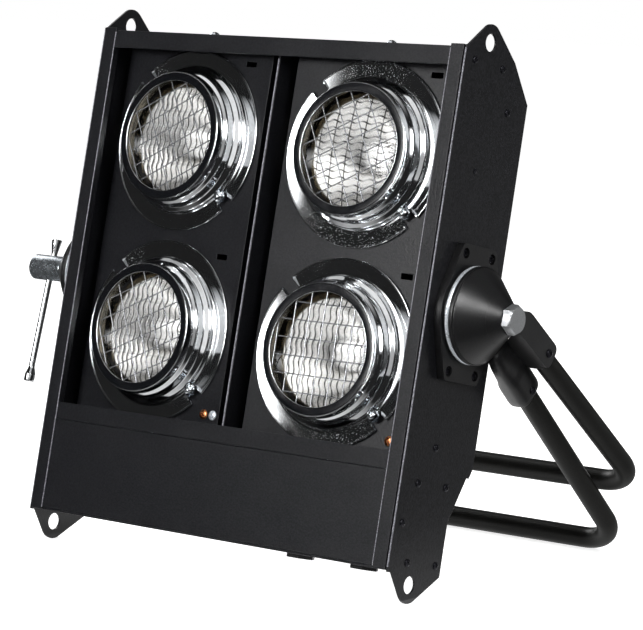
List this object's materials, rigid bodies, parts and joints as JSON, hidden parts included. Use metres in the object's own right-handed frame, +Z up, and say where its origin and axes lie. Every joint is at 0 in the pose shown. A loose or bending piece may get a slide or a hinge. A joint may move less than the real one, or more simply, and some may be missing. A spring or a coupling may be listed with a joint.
{
  "type": "audience blinder",
  "caption": "Leaning stage light: a folded sheet housing carries round sealed beam lamps in swivelling trays, between tube yokes that turn on cast cones at its sides.",
  "frame": {"origin": "middle of the footprint of the whole unit, on the floor that it stands on", "axes": "+Z up; the lamps face -Y and the yokes reach back to +Y; seen from the front, the hexagon bolt is at +X, on the right, and the clamp handle at -X, on the left"},
  "size_m": [0.5748, 0.362, 0.5046],
  "materials": {
    "black_powder_coat": "fine textured black powder coat on steel sheet",
    "black_casting": "cast aluminium under black paint",
    "black_tube_paint": "smooth black paint on steel tube",
    "black_ring_paint": "satin black paint on steel",
    "chrome": "polished chrome",
    "zinc_plate": "bright zinc plated steel",
    "black_zinc_plate": "black zinc plated steel",
    "lamp_glass": "fluted lens fused to a silvered glass reflector",
    "black_plastic": "moulded black nylon",
    "white_ceramic": "unglazed white ceramic"
  },
  "bodies": {
    "housing": {"top_panel": "black_powder_coat", "bottom_panel": "black_powder_coat", "rear_cover": "black_powder_coat", "frame_left": "black_powder_coat", "frame_right": "black_powder_coat", "side_plate_left": "black_powder_coat", "side_plate_right": "black_powder_coat", "lower_cover": "black_powder_coat", "shelf": "black_powder_coat", "centre_divider": "black_powder_coat", "base_plate_left": "black_casting", "base_plate_right": "black_casting", "bearing_ring_left": "zinc_plate", "bearing_ring_right": "zinc_plate", "pivot_bolt": "zinc_plate", "pivot_stud": "zinc_plate", "terminal_block": "white_ceramic", "cable_gland_inner": "black_plastic", "cable_gland_outer": "black_plastic", "tray_pin_top_left": "zinc_plate", "tray_pin_top_right": "zinc_plate", "tray_pin_bottom_left": "zinc_plate", "tray_pin_bottom_right": "zinc_plate"},
    "tray_left": {"tray_left": "black_powder_coat", "trim_ring_top_left": "chrome", "guard_ring_top_left": "black_ring_paint", "guard_mesh_top_left": "zinc_plate", "lamp_top_left": "lamp_glass", "clamp_screw_top_left": "zinc_plate", "trim_ring_bottom_left": "chrome", "guard_ring_bottom_left": "black_ring_paint", "guard_mesh_bottom_left": "zinc_plate", "lamp_bottom_left": "lamp_glass", "clamp_screw_bottom_left": "zinc_plate"},
    "tray_right": {"tray_right": "black_powder_coat", "trim_ring_top_right": "chrome", "guard_ring_top_right": "black_ring_paint", "guard_mesh_top_right": "zinc_plate", "lamp_top_right": "lamp_glass", "clamp_screw_top_right": "zinc_plate", "trim_ring_bottom_right": "chrome", "guard_ring_bottom_right": "black_ring_paint", "guard_mesh_bottom_right": "zinc_plate", "lamp_bottom_right": "lamp_glass", "clamp_screw_bottom_right": "zinc_plate"},
    "inner_yoke": {"cone_arm_left": "black_casting", "cone_arm_right": "black_casting", "inner_yoke_tube": "black_tube_paint", "inner_arm_screw_left": "black_zinc_plate", "inner_arm_screw_right": "black_zinc_plate"},
    "outer_yoke": {"outer_arm_left": "black_casting", "outer_arm_right": "black_casting", "outer_yoke_tube": "black_tube_paint", "outer_arm_screw_left": "black_zinc_plate", "outer_arm_screw_right": "black_zinc_plate"},
    "clamp_hub": {"clamp_hub": "zinc_plate"},
    "tommy_bar": {"tommy_bar": "zinc_plate"}
  },
  "joints": [
    {"name": "inner_yoke_tilt", "type": "hinge", "parent": "housing", "child": "inner_yoke", "pos_m": [0.0164, -0.07552, 0.24942], "axis": [1, 0, 0], "range_deg": [-180, 180]},
    {"name": "outer_yoke_tilt", "type": "hinge", "parent": "inner_yoke", "child": "outer_yoke", "pos_m": [0.0164, -0.07552, 0.24942], "axis": [1, 0, 0], "range_deg": [-3, 330]},
    {"name": "tray_left_swivel", "type": "hinge", "parent": "housing", "child": "tray_left", "pos_m": [-0.0878, -0.14486, 0.02713], "axis": [0, 0.2147, 0.9767], "range_deg": [-8, 12]},
    {"name": "tray_right_swivel", "type": "hinge", "parent": "housing", "child": "tray_right", "pos_m": [0.1206, -0.14486, 0.02713], "axis": [0, 0.2147, 0.9767], "range_deg": [-12, 8]},
    {"name": "clamp_turn", "type": "hinge", "parent": "housing", "child": "clamp_hub", "pos_m": [-0.2459, -0.07552, 0.24942], "axis": [-1, 0, 0], "range_deg": [0, 360]},
    {"name": "tommy_bar_slide", "type": "slide", "parent": "clamp_hub", "child": "tommy_bar", "axis": [0, 0.2773, 0.9608], "range_m": [-0.003, 0.086]}
  ]
}
